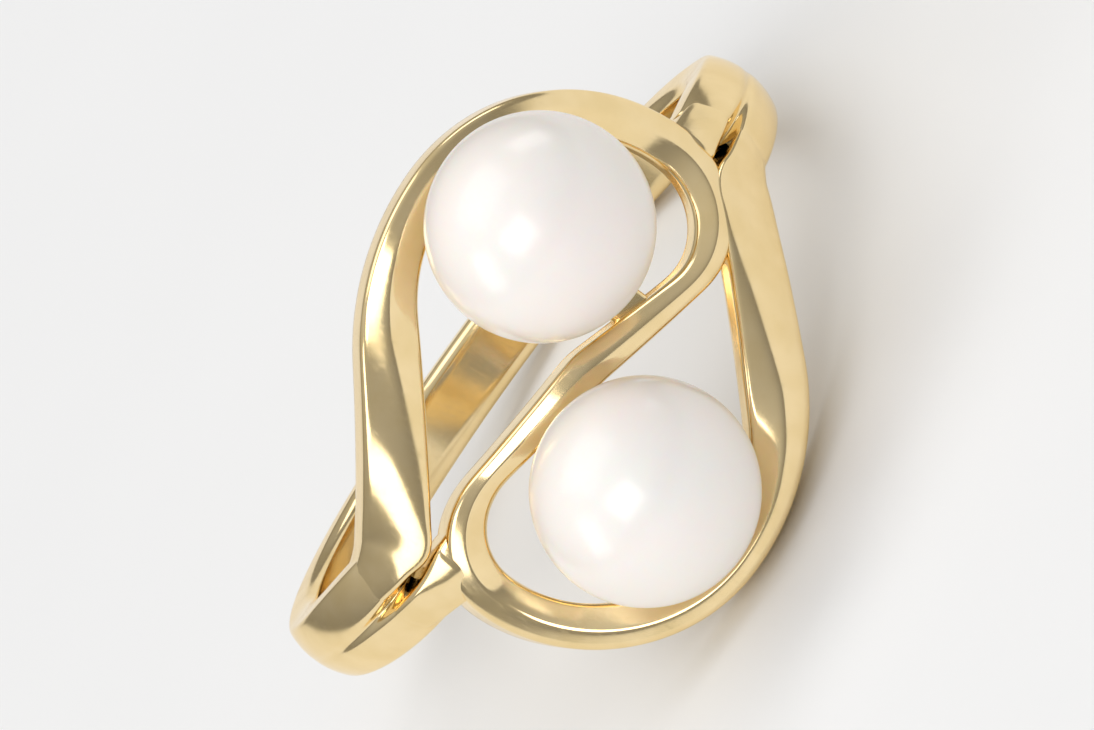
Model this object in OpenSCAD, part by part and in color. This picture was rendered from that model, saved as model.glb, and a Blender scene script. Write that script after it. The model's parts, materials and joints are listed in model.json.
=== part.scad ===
// Yellow gold ring with two white pearls in an open S-shaped scroll.
// One ribbon of metal rises from the left shoulder, passes round the upper pearl, crosses
// between the pearls as the middle of the S, passes round the lower pearl and runs down to
// the right shoulder. A short branch ties each loop of the S to the shank beside it.
//
// The ring's own frame has X across the finger, Y along it and Z out through the middle of
// the head. The lower half of the scroll is drawn like the upper one and turned by 180 degrees
// about Z; its hook is less deep, so the run between the pearls lies nearer to the lower one.
// The last step lays the ring on its side, as it rests on a table.

/* [Finger] */
// Diameter of the hole for the finger
finger_d = 16.5; // [16:0.1:17.2]

/* [Pearls] */
// Diameter of each pearl
pearl_d = 6; // [5.4:0.1:6.1]
// Distance of each pearl from the middle of the head, across the finger
pearl_x = 1.95; // [1.8:0.05:2.1]
// Distance of the upper pearl from the middle of the head, along the finger
upper_pearl_y = 3.35; // [3.3:0.05:3.4]
// Distance of the lower pearl from the middle of the head, along the finger
lower_pearl_y = 2.85; // [2.75:0.05:3]
// Height of each pearl's centre above the finger's axis
pearl_z = 12.2; // [12.15:0.05:12.4]

/* [Scroll] */
// Reach of the upper loop from the middle of the head, across the finger
upper_x = 6.75; // [6.65:0.05:6.85]
// Reach of the lower loop from the middle of the head, across the finger
lower_x = 6.6; // [6.5:0.05:6.7]
// Reach of the upper loop from the middle of the head, along the finger
upper_y = 6.5; // [6.4:0.05:6.6]
// Reach of the lower loop from the middle of the head, along the finger
lower_y = 6.75; // [6.65:0.05:6.8]
// Width of the ribbon where it crosses between the pearls
wire_w = 1.05; // [0.9:0.05:1.15]
// Width of the ribbon round each pearl
loop_w = 1.2; // [1:0.05:1.3]
// Distance of the run's middle from the middle of the head, towards the lower pearl
run_shift = 0.12; // [0:0.01:0.2]

/* [Shank] */
// Radius of the outside of the metal, seen along the finger
outer_r = 9.6; // [9.5:0.05:9.9]
// Distance that the outside's centre is raised, which thickens the head
outer_lift = 0.35; // [0.2:0.05:0.45]
// Width of the shank at the shoulders
shoulder_w = 2.7; // [2.5:0.1:2.9]
// Width of the shank at the bottom
shank_w = 1.9; // [1.7:0.1:2.4]
// Radius of the shank's rounded outside, across its width
dome_r = 2.2; // [1.8:0.1:4]

/* [Seats] */
// Diameter of the dished seat under each pearl
seat_d = 3.4; // [3:0.1:3.8]
// Width of the bar that ties each seat to the ribbon
bar_w = 1.1; // [0.9:0.1:1.6]
// Diameter of the post inside each pearl
post_d = 0.9; // [0.7:0.05:1.1]
// Room for glue between a pearl and its seat and post
glue_gap = 0.1; // [0.05:0.01:0.15]

/* [Rest] */
// Lean of the head from upright when the ring lies on its side
rest_lean = 16.3; // [0:0.1:30]
// Turn of the ring about its head as it settles on its side
rest_turn = -10.3; // [-15:0.1:15]

/* [Hidden] */
$fn = 96;

bore_r = finger_d / 2;
pearl_r = pearl_d / 2;
// Solids that are cut to size later reach this far
reach = 20;
// The seats start this high, inside the bore that is cut last
base_z = bore_r - 1;
// Straight pieces of the ribbon reach this far into the curved ones
tuck_length = 0.12;
// and their corners move inward by this share of their width
tuck_share = 0.04;
// A cut reaches past a ribbon by this share of the ribbon's width
cut_past = 0.6;
// The bars lie this far below the lowest point of the seats' dishes
bar_drop = 0.15;

// The place of the resting ring, so that its box is centred
rest_x = 0;
rest_y = 3.21;

// Side of the scroll: 1 for the upper half, -1 for the lower half before it is turned
upper = 1;
lower = -1;

// The hook is the turn from the middle of the S into a loop. Its edges end at the height of
// the loop's centre, so they meet the loop's with no corner.
upper_hook_r = 2.65;
lower_hook_r = 2.5;
upper_hook_inner_r = 1.8;
lower_hook_inner_r = 1.7;
upper_turn_y = 1.1;
lower_turn_y = 1.9;

// The crest flattens the loop over to the left, as far as the angle at which the band leaves it
crest_turn = 41;
upper_crest_r = 7.1;
lower_crest_r = 7.8;
upper_crest_inner_r = 4.4;
lower_crest_inner_r = 4.6;

// The shank begins here, and the band and the branch reach into it by shoulder_lap
shoulder_x = 7.2;
shoulder_lap = 0.6;
shoulder_y = shoulder_w / 2;
// The small slot between the band and the branch, at the shoulder
slot_top = 0.2;
slot_bottom = -0.2;

// The point of a circle at an angle
function on_circle(centre, r, angle) = centre + r * [cos(angle), sin(angle)];

// A point past b on the line from a to b, so that a cut there runs clear through an edge
function beyond(a, b) = b + cut_past * (b - a);

// A straight piece's corner a, moved a little towards its other corner b and by tuck_length
// along a direction, so that its end lies within the piece that it joins
function tucked(a, b, along) = a + tuck_share * (b - a) + tuck_length * along / norm(along);

// Angle round a circle at which a line from a point outside it touches it, on its lower side
function touch_angle(centre, r, from) =
    let (away = centre - from)
    atan2(away[1], away[0]) - asin(r / norm(away)) - 90;

// Reach of a loop across and along the finger, and the height at which its hook ends
function reach_x(side) = side == upper ? upper_x : lower_x;
function reach_y(side) = side == upper ? upper_y : lower_y;
function turn_y(side) = side == upper ? upper_turn_y : lower_turn_y;

// Radii of the outer and inner edges of a hook and a crest
function hook_outer_r(side) = side == upper ? upper_hook_r : lower_hook_r;
function hook_inner_r(side) = side == upper ? upper_hook_inner_r : lower_hook_inner_r;
function crest_outer_r(side) = side == upper ? upper_crest_r : lower_crest_r;
function crest_inner_r(side) = side == upper ? upper_crest_inner_r : lower_crest_inner_r;

// Centre of a half's pearl
function pearl_c(side) = [pearl_x, side == upper ? upper_pearl_y : lower_pearl_y, pearl_z];

// Centres of a hook's two edges
function outer_hook(side) = [reach_x(side) - hook_outer_r(side), turn_y(side)];
function inner_hook(side) = [reach_x(side) - loop_w - hook_inner_r(side), turn_y(side)];

// Radius and centre of a loop's outer edge
function loop_r(side) = reach_y(side) - turn_y(side);
function loop_c(side) = [reach_x(side) - loop_r(side), turn_y(side)];

// Centres of the crest's two edges, and where the band leaves them
function crest_outer(side) = [loop_c(side)[0], reach_y(side) - crest_outer_r(side)];
function crest_inner(side) = [loop_c(side)[0], reach_y(side) - loop_w - crest_inner_r(side)];
function band_outer(side) = on_circle(crest_outer(side), crest_outer_r(side), 90 + crest_turn);
function band_inner(side) = on_circle(crest_inner(side), crest_inner_r(side), 90 + crest_turn);

// Middle of the ribbon's lower edge (-1) or upper edge (1) at the middle of the S
function mid_edge(side, edge) = [0, edge * wire_w / 2 - side * run_shift];

// Where the run's lower and upper edges touch a hook's circles
function run_below(side) =
    on_circle(outer_hook(side), hook_outer_r(side),
              touch_angle(outer_hook(side), hook_outer_r(side), mid_edge(side, -1)));
function run_above(side) =
    on_circle(inner_hook(side), hook_inner_r(side),
              touch_angle(inner_hook(side), hook_inner_r(side), mid_edge(side, 1)));

// Corners of the run's end, tucked into a hook
function end_below(side) =
    tucked(run_below(side), run_above(side), run_below(side) - mid_edge(side, -1));
function end_above(side) =
    tucked(run_above(side), run_below(side), run_above(side) - mid_edge(side, 1));

// Height of the run's middle line at a distance x across the finger
function run_y(side, x) =
    let (end = (run_below(side) + run_above(side)) / 2, start = -side * run_shift)
    start + (end[1] - start) * x / end[0];

// A disc about a point, drawn from an angle that none of the plans below keeps
module disc(centre, r) {
    translate(centre) rotate(180) circle(r = r);
}

// Plan of the ribbon's run between the pearls
module run_plan() {
    polygon([end_below(upper), end_above(upper), mid_edge(upper, 1),
             -end_below(lower), -end_above(lower), mid_edge(upper, -1)]);
}

// Plan of the turn from the run into a loop
module hook_plan(side) {
    intersection() {
        difference() {
            disc(outer_hook(side), hook_outer_r(side));
            disc(inner_hook(side), hook_inner_r(side));
        }
        polygon([beyond(run_below(side), run_above(side)), beyond(run_above(side), run_below(side)),
                 [reach, -reach], [reach, turn_y(side)], inner_hook(side)]);
    }
}

// Plan of the quarter turn round the outside of a pearl
module loop_plan(side) {
    intersection() {
        difference() {
            disc(loop_c(side), loop_r(side));
            disc(loop_c(side), loop_r(side) - loop_w);
        }
        translate(loop_c(side)) square(reach);
    }
}

// Plan of the flatter stretch from the top of a loop to the band
module crest_plan(side) {
    intersection() {
        difference() {
            disc(crest_outer(side), crest_outer_r(side));
            disc(crest_inner(side), crest_inner_r(side));
        }
        polygon([crest_inner(side), [loop_c(side)[0], reach], [-reach, reach],
                 beyond(band_inner(side), band_outer(side)),
                 beyond(band_outer(side), band_inner(side))]);
    }
}

// Plan of the band from the crest down to the shoulder. Its foot closes the inner end of the
// small slot above the branch.
module band_plan(side) {
    inner_bend = [-5.35, 1.05];
    foot = [[-6, -0.3], [-6.55, -0.35]];
    slot_corner = [-6.65, 0.15];
    outer_bend = [-6.85, shoulder_y + 0.3];
    shoulder_bend = [-shoulder_x - 0.1, shoulder_y + 0.05];
    into_crest = [cos(crest_turn), sin(crest_turn)];
    polygon([tucked(band_outer(side), band_inner(side), into_crest),
             tucked(band_inner(side), band_outer(side), into_crest),
             inner_bend, foot[0], foot[1], slot_corner,
             [-shoulder_x, slot_top], [-shoulder_x - shoulder_lap, slot_top],
             [-shoulder_x - shoulder_lap, shoulder_y], shoulder_bend, outer_bend]);
}

// Plan of the branch from the shoulder to the outside of the other half's loop
module branch_plan() {
    above_slot = [-6.4, -0.1];
    notch = [-6.2, 0.08];
    in_hook = [-4.9, 0.4];
    in_loop = [-5.75, -1.6];
    below_bend = [-6.8, -shoulder_y];
    polygon([[-shoulder_x - shoulder_lap, slot_bottom], [-shoulder_x, slot_bottom],
             above_slot, notch, in_hook, in_loop, below_bend,
             [-shoulder_x - shoulder_lap, -shoulder_y]]);
}

// Everything within the outside of the metal, seen along the finger
module within_outside() {
    translate([0, 0, outer_lift]) rotate([90, 0, 0]) cylinder(r = outer_r, h = reach, center = true);
}

// A plan raised into a wall
module wall() {
    linear_extrude(reach) children();
}

// Walls of one half of the ribbon, from the run between the pearls to the left shoulder, and
// of the branch below that shoulder
module half_walls(side) {
    wall() hook_plan(side);
    wall() loop_plan(side);
    wall() crest_plan(side);
    wall() band_plan(side);
    wall() branch_plan();
}

// The open S, with its walls cut off at the outside of the metal
module scroll() {
    intersection() {
        union() {
            wall() run_plan();
            half_walls(upper);
            rotate([0, 0, 180]) half_walls(lower);
        }
        within_outside();
    }
}

// Outline of the shank seen across the finger: it narrows from the shoulders down to its
// lower half
module shank_taper() {
    shoulder_z = 6;
    narrow_z = -2;
    rotate([90, 0, 90])
        linear_extrude(reach, center = true)
            polygon([[-shank_w / 2, -outer_r], [shank_w / 2, -outer_r], [shank_w / 2, narrow_z],
                     [shoulder_y, shoulder_z], [shoulder_y, outer_r],
                     [-shoulder_y, outer_r], [-shoulder_y, shoulder_z], [-shank_w / 2, narrow_z]]);
}

// Domed band round the finger, open where the scroll takes over
module shank() {
    difference() {
        intersection() {
            translate([0, 0, outer_lift]) rotate([90, 0, 0])
                rotate_extrude()
                    intersection() {
                        translate([outer_r - dome_r, 0]) circle(r = dome_r);
                        translate([outer_r - dome_r, -shoulder_y]) square([dome_r, shoulder_w]);
                    }
            shank_taper();
        }
        translate([-shoulder_x, -reach / 2, 0]) cube([2 * shoulder_x, reach, reach]);
    }
}

// A seat's disc and the bar that ties it across the loop, before they are dished
module seat_blank(side) {
    rim_z = pearl_z - sqrt(pow(pearl_r, 2) - pow(seat_d / 2, 2));
    bar_top = pearl_z - pearl_r - glue_gap - bar_drop;
    bar_start = run_y(side, pearl_x);
    bar_end = reach_y(side) - loop_w / 2;
    translate([pearl_x, pearl_c(side)[1], base_z]) cylinder(d = seat_d, h = rim_z - base_z);
    translate([pearl_x - bar_w / 2, bar_start, base_z])
        cube([bar_w, bar_end - bar_start, bar_top - base_z]);
}

// Dished seat and post of a pearl
module seat(side) {
    difference() {
        seat_blank(side);
        translate(pearl_c(side)) sphere(r = pearl_r + glue_gap);
    }
    translate([pearl_x, pearl_c(side)[1], base_z]) cylinder(d = post_d, h = pearl_z - base_z);
}

// The soldered metal, bored for the finger
module mount_in_ring_frame() {
    difference() {
        union() {
            shank();
            scroll();
            seat(upper);
            rotate([0, 0, 180]) seat(lower);
        }
        rotate([90, 0, 0]) cylinder(r = bore_r, h = reach, center = true);
    }
}

// A half's pearl, drilled half way for its post
module pearl_in_ring_frame(side) {
    translate(pearl_c(side)) difference() {
        sphere(r = pearl_r);
        translate([0, 0, -reach]) cylinder(d = post_d + 2 * glue_gap, h = reach + glue_gap);
    }
}

// Lays the ring on its side, on the shank's lower edge and the scroll, in the middle of its box
module at_rest() {
    edge_r = outer_r - dome_r + sqrt(pow(dome_r, 2) - pow(shank_w / 2, 2));
    up = [sin(rest_turn) * cos(rest_lean), cos(rest_turn) * cos(rest_lean), sin(rest_lean)];
    height = up[1] * shank_w / 2 - up[2] * outer_lift + edge_r * norm([up[0], up[2]]);
    translate([rest_x, rest_y, height])
        rotate([90 - rest_lean, 0, 0]) rotate([0, 0, rest_turn]) children();
}

module scroll_mount() {
    color("gold") at_rest() mount_in_ring_frame();
}

module pearl_upper() {
    color("ivory") at_rest() pearl_in_ring_frame(upper);
}

module pearl_lower() {
    color("ivory") at_rest() rotate([0, 0, 180]) pearl_in_ring_frame(lower);
}

scroll_mount();
pearl_upper();
pearl_lower();
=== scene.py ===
"""Yellow gold ring with two white pearls in an open S-shaped scroll.

Every shape is worked out in the ring's own frame, in millimetres: X across the ring, Y along
its hole's axis and Z out through the middle of the head. RingFrame carries it to the frame of
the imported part, in which the ring lies on its side.
"""

import json
import logging
import math
from dataclasses import dataclass
from enum import Enum
from typing import Callable, NamedTuple

import bpy
import numpy as np
from mathutils import Matrix, Vector


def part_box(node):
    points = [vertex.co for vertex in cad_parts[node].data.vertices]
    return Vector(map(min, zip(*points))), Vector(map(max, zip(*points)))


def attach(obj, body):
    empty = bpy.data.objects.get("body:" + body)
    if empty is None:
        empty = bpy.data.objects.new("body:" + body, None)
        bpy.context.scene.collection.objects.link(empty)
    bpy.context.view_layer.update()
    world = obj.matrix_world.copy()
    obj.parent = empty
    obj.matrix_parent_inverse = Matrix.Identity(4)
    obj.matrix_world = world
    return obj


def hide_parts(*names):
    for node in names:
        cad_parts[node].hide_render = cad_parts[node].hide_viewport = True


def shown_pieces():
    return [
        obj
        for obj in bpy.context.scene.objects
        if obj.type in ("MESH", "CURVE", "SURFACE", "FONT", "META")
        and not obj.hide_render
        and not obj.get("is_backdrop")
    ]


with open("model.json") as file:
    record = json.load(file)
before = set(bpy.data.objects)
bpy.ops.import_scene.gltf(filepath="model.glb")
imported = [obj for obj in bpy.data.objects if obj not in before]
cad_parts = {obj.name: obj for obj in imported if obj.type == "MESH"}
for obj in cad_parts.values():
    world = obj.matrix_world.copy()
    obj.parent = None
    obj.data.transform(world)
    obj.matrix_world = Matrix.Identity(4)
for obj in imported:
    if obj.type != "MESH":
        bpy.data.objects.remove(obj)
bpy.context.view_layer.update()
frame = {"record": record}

BODY = "root"
BORE = "finger_bore"
MM = 0.001
IMAGE_WIDTH, IMAGE_HEIGHT = 1094, 730

log = logging.getLogger("pearl_ring")

Array = np.ndarray
Colour = tuple[float, float, float, float]
HeightAt = Callable[[Array, Array], Array]
Socket = bpy.types.NodeSocket


class Half(Enum):
    """The half of the scroll round each pearl.

    The lower half is drawn like the upper one and turned by 180 degrees about Z.
    """

    UPPER = 1
    LOWER = -1

    @property
    def node(self) -> str:
        """Name of its pearl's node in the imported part."""
        return f"pearl_{self.name.lower()}"


def unit(vector: Array) -> Array:
    """Returns the vector at length 1."""
    return vector / np.linalg.norm(vector)


def ramp(values: Array, start: float, end: float) -> Array:
    """Share of the way from start to end at which each value lies, kept within 0 and 1."""
    return np.clip((values - start) / (end - start), 0, 1)


def mixed(share: Array, high: Array, low: Array) -> Array:
    """Mixes two heights or radii by the share of the first."""
    return share * high + (1 - share) * low


def finger_bore() -> dict:
    """The record's mount for the ring's hole."""
    return next(mount for mount in frame["record"]["mounts"] if mount["name"] == BORE)


@dataclass(frozen=True)
class RingFrame:
    """Place of the ring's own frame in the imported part's.

    Attributes:
        centre: Middle of the ring's hole, in metres.
        axes: The ring's X, Y and Z as rows.
    """

    centre: Array
    axes: Array

    @classmethod
    def from_part(cls) -> "RingFrame":
        """Finds the frame from the hole's axis and the pearls' boxes.

        Returns:
            The frame whose Y is the hole's axis, and whose Z points from it to the middle
            between the pearls.
        """
        centre = np.array(finger_bore()["pos_m"])
        along = unit(np.array(finger_bore()["axis"]))
        corners = [np.array(corner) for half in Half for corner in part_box(half.node)]
        out = np.mean(corners, axis=0) - centre
        out = unit(out - along * (out @ along))
        return cls(centre, np.array([np.cross(along, out), along, out]))

    def place(self, points: Array) -> Array:
        """Carries points from the ring's frame, in mm, to the part's, in metres."""
        return self.centre + points * MM @ self.axes

    def ring_point(self, point: Array) -> Array:
        """Carries a point from the part's frame, in metres, to the ring's, in mm."""
        return self.axes @ (point - self.centre) / MM

    def turn(self, direction: Array) -> Array:
        """Turns a direction from the ring's frame to the part's."""
        return direction @ self.axes


# Shells: closed surfaces on grids


@dataclass
class Shell:
    """A closed surface.

    Attributes:
        points: Its vertices, n by 3.
        quads: Its four-sided faces, as vertex numbers.
        tris: Its three-sided faces, at poles and end caps.
    """

    points: Array
    quads: Array
    tris: Array

    def volume(self) -> float:
        """Signed volume: a sixth of the sum of a . (b x c) over the faces' triangles.

        Returns:
            The volume, below 0 if the faces point inwards.
        """
        split = np.vstack([self.quads[:, [0, 1, 2]], self.quads[:, [0, 2, 3]], self.tris])
        a, b, c = (self.points[split[:, i]] for i in range(3))
        return float(np.einsum("ij,ij->", a, np.cross(b, c)) / 6)

    def outward(self) -> "Shell":
        """The shell with its faces turned outwards.

        Returns:
            This shell, or a copy with the order of each face's vertices turned round.
        """
        if self.volume() >= 0:
            return self
        return Shell(self.points, self.quads[:, ::-1], self.tris[:, ::-1])


def capped_tube(grid: Array) -> Shell:
    """Closes a tube with a fan at each end.

    Args:
        grid: Stations by profile points by 3. The profile closes on itself.

    Returns:
        The shell: a quad between each two stations and neighbouring profile points, and at
        both ends a triangle from each edge of the profile to the profile's middle.
    """
    stations, around = grid.shape[:2]
    ids = np.arange(stations * around).reshape(stations, around)
    beside = np.roll(ids, -1, axis=1)
    quads = np.stack([ids[:-1], beside[:-1], beside[1:], ids[1:]], axis=-1).reshape(-1, 4)
    first, last = stations * around, stations * around + 1
    start = np.stack([beside[0], ids[0], np.full(around, first)], axis=-1)
    end = np.stack([ids[-1], beside[-1], np.full(around, last)], axis=-1)
    points = np.vstack([grid.reshape(-1, 3), grid[0].mean(axis=0), grid[-1].mean(axis=0)])
    return Shell(points, quads, np.vstack([start, end])).outward()


def lathed(radii: Array, heights: Array, steps: int) -> Shell:
    """Turns a profile about Z.

    Args:
        radii: Distance of each profile point from the axis. The first and last are 0.
        heights: Height of each profile point.
        steps: Number of steps round the axis.

    Returns:
        The shell with points (r cos a, r sin a, h), closed at both poles.
    """
    angles = np.arange(steps) * 2 * math.pi / steps
    ring = np.stack([np.cos(angles), np.sin(angles)], axis=-1)
    flat = radii[1:-1, None, None] * ring[None]
    tall = np.broadcast_to(heights[1:-1, None, None], (len(radii) - 2, steps, 1))
    shell = capped_tube(np.concatenate([flat, tall], axis=-1))
    shell.points[-2:] = [[0, 0, heights[0]], [0, 0, heights[-1]]]
    return shell.outward()


def in_scene(name: str, data: bpy.types.ID) -> bpy.types.Object:
    """Makes an object of some data and links it to the scene.

    Args:
        name: Name of the object.
        data: Its mesh, light or camera.

    Returns:
        The new object.
    """
    made = bpy.data.objects.new(name, data)
    bpy.context.scene.collection.objects.link(made)
    return made


def add_piece(name: str, shells: list[Shell], place: RingFrame, material: bpy.types.Material,
              node: str) -> bpy.types.Object:
    """Makes one smooth mesh of some shells, which stands for a node of the part.

    Args:
        name: Name of the piece.
        shells: Its closed surfaces, in the ring's frame.
        place: The ring's frame.
        material: Its finish.
        node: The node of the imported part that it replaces.

    Returns:
        The new object, with its place in its mesh.
    """
    offsets = np.cumsum([0] + [len(s.points) for s in shells[:-1]])
    quads = np.vstack([s.quads + o for s, o in zip(shells, offsets)])
    tris = np.vstack([s.tris + o for s, o in zip(shells, offsets)])
    points = place.place(np.vstack([s.points for s in shells]))
    mesh = bpy.data.meshes.new(name)
    mesh.from_pydata(points.tolist(), [], quads.tolist() + tris.tolist())
    mesh.polygons.foreach_set("use_smooth", np.ones(len(mesh.polygons), dtype=bool))
    mesh.materials.append(material)
    mesh.update()
    piece = in_scene(name, mesh)
    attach(piece, BODY)
    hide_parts(node)
    return piece


# Plan curves


def arc(centre: Array, radius: float, start: float, end: float, steps: int = 60) -> Array:
    """Points of a circle's arc from one angle to another, in degrees."""
    angles = np.radians(np.linspace(start, end, steps))
    return centre + radius * np.stack([np.cos(angles), np.sin(angles)], axis=-1)


def line(start: Array, end: Array, steps: int = 30) -> Array:
    """Evenly spaced points from start to end."""
    return start + np.linspace(0, 1, steps)[:, None] * (end - start)


def through(corners: list[tuple[float, float]]) -> Array:
    """Straight lines from corner to corner, each with the same number of points."""
    stops = np.array(corners)
    return np.vstack([line(a, b) for a, b in zip(stops[:-1], stops[1:])])


def touch_angle(centre: Array, radius: float, origin: Array) -> float:
    """Finds where a line touches a circle on its lower side.

    Args:
        centre: The circle's centre.
        radius: The circle's radius.
        origin: A point on the line, outside the circle.

    Returns:
        The angle of the touching point about the centre, in degrees: a quarter turn and the
        angle asin(radius / distance) before the direction from the origin to the centre.
    """
    away = centre - origin
    reach = math.degrees(math.asin(radius / np.linalg.norm(away)))
    return math.degrees(math.atan2(away[1], away[0])) - reach - 90


def lengths(curve: Array) -> Array:
    """Distance along a curve of each of its points."""
    return np.concatenate([[0], np.cumsum(np.linalg.norm(np.diff(curve, axis=0), axis=1))])


def at_length(curve: Array, along: Array, wanted: Array) -> Array:
    """Points of a curve at wanted distances along it."""
    return np.stack([np.interp(wanted, along, curve[:, i]) for i in range(2)], axis=-1)


def squared(first: Array, second: Array, rounds: int = 60, share: float = 0.3) -> list[Array]:
    """Matches two edges of a ribbon so that the lines between them cross it squarely.

    Each round moves both points of a pair along their edges by a share of the lean of the
    line between them, and keeps the pairs in order. The ends stay put.

    Args:
        first: One edge.
        second: The other edge, matched point by point.
        rounds: Number of rounds.
        share: Share of the lean that a round takes away.

    Returns:
        The two edges, matched anew.
    """
    along = [lengths(first), lengths(second)]
    place = [a.copy() for a in along]
    for _ in range(rounds):
        pair = [at_length(e, a, w) for e, a, w in zip((first, second), along, place)]
        way = sum(np.gradient(p, axis=0) for p in pair)
        way /= np.maximum(np.linalg.norm(way, axis=1), 1e-9)[:, None]
        lean = share * np.einsum("ij,ij->i", pair[0] - pair[1], way)
        for i, side in enumerate((-1, 1)):
            moved = place[i] + side * lean
            moved[0], moved[-1] = 0, along[i][-1]
            place[i] = np.clip(np.maximum.accumulate(moved), 0, along[i][-1])
    return [at_length(e, a, w) for e, a, w in zip((first, second), along, place)]


def resampled(first: Array, second: Array, spacing: float) -> list[Array]:
    """Spaces two matched edges evenly along the line midway between them.

    Args:
        first: One edge.
        second: The other edge, matched point by point.
        spacing: The new distance between the pairs' middles.

    Returns:
        The two edges, at the new spacing.
    """
    along = lengths((first + second) / 2)
    keep = np.concatenate([[True], np.diff(along) > 1e-9])
    even = np.linspace(0, along[-1], int(along[-1] / spacing) + 1)
    return [at_length(edge[keep], along[keep], even) for edge in (first, second)]


def softened(edge: Array, spacing: float, reach: float) -> Array:
    """Averages a curve along itself, with the weight exp(-(s / reach)^2 / 2) at a distance s.

    Args:
        edge: The curve, with evenly spaced points.
        spacing: Distance between its points.
        reach: Reach of the weight.

    Returns:
        The softened curve, with its ends where they were.
    """
    half = max(1, int(3 * reach / spacing))
    bell = np.exp(-0.5 * (np.arange(-half, half + 1) * spacing / reach) ** 2)
    bell /= bell.sum()
    before = 2 * edge[0] - edge[half:0:-1]
    after = 2 * edge[-1] - edge[-2:-half - 2:-1]
    padded = np.vstack([before, edge, after])
    return np.stack([np.convolve(padded[:, i], bell, "valid") for i in range(2)], axis=-1)


# Sections and strips


@dataclass(frozen=True)
class Envelope:
    """The two round surfaces between which all the gold lies, in mm.

    Attributes:
        bore_r: Radius of the hole.
        outer_r: Radius of the outside, seen along the hole's axis. It is 5 micrometres less than
            the part's own, which keeps the gold inside the part's box.
        outer_lift: Height of the outside's axis above the hole's.
    """

    bore_r: float
    outer_r: float = 9.595
    outer_lift: float = 0.35

    def inside(self, across: Array, depth: Array | float = 0.0) -> Array:
        """Height at a distance across the ring, at a depth in the metal above its hole."""
        return np.sqrt((self.bore_r + depth) ** 2 - across ** 2)

    def outside(self, across: Array, depth: Array | float = 0.0) -> Array:
        """Height at a distance across the ring, at a depth below the outer surface."""
        return self.outer_lift + np.sqrt((self.outer_r - depth) ** 2 - across ** 2)

    def outside_radius(self, angle: Array) -> Array:
        """Distance of the outer surface from the hole's axis, at an angle from straight down."""
        return (-self.outer_lift * np.cos(angle)
                + np.sqrt(self.outer_r ** 2 - (self.outer_lift * np.sin(angle)) ** 2))


@dataclass(frozen=True)
class Section:
    """Section of a strip or band, as points that run round it from its left edge, in mm.

    Each point lies at share * width + offset from the left edge. Its height is a mix, by
    top_share, of the top at the depth fall and the underside at the depth rise.

    Attributes:
        corner: Radius of the two upper edges.
        foot: Radius of the two lower edges.
        top_points: Number of points across the top.
        crowding: How strongly those points crowd to the middle, 0 for not at all.
        turn_points: Number of points round each edge.
        low_points: Number of points across the underside.
        wall_points: Number of points down each side.
    """

    corner: float
    foot: float
    top_points: int
    crowding: float = 0.0
    turn_points: int = 6
    low_points: int = 5
    wall_points: int = 3

    def columns(self) -> list[Array]:
        """Works out the section's points.

        The edges are quarter circles. Across the top the points lie at sinh(k t) / sinh(k) for
        even steps of t, where k is the crowding.

        Returns:
            The columns share, offset, top_share, fall and rise, with a value for each point.
        """
        turn = np.linspace(0, math.pi / 2, self.turn_points)
        inward, drop = 1 - np.cos(turn), 1 - np.sin(turn)
        spread = np.linspace(-1, 1, self.top_points + 2)[1:-1]
        if self.crowding:
            spread = np.sinh(self.crowding * spread) / math.sinh(self.crowding)
        top = (1 + spread) / 2
        low = np.linspace(1, 0, self.low_points + 2)[1:-1]
        wall = np.linspace(0, 1, self.wall_points + 2)[1:-1]
        c, f = self.corner, self.foot
        none, one = np.zeros_like, np.ones_like
        rows = [  # Upper left edge, top, upper right edge, right side, and back underneath
            (none(turn), c * inward, one(turn), c * drop, none(turn)),
            (top, c * (1 - 2 * top), one(top), none(top), none(top)),
            (one(turn), -c * inward[::-1], one(turn), c * drop[::-1], none(turn)),
            (one(wall), none(wall), 1 - wall, c * one(wall), f * one(wall)),
            (one(turn), -f * inward, none(turn), none(turn), f * drop),
            (low, f * (1 - 2 * low), none(low), none(low), none(low)),
            (none(turn), f * inward[::-1], none(turn), none(turn), f * drop[::-1]),
            (none(wall), none(wall), wall, c * one(wall), f * one(wall)),
        ]
        return [np.concatenate(column) for column in zip(*rows)]


class Mark(NamedTuple):
    """Shape of a strip's top at one place along it, in mm.

    Attributes:
        place: The place, as a share of the strip's length.
        ridge: Place of the ridge, as a share of the width from the left edge.
        left_drop: Fall of the top from the ridge to the left edge.
        right_drop: Fall of the top from the ridge to the right edge.
        round_over: Half-width over which the ridge is rounded.
    """

    place: float
    ridge: float
    left_drop: float
    right_drop: float
    round_over: float

    @staticmethod
    def read(marks: tuple["Mark", ...], way: Array) -> list[Array]:
        """Reads the marks' columns, apart from place, at places along the strip."""
        place, *columns = np.array(marks).T
        return [np.interp(way, place, column) for column in columns]


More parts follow.
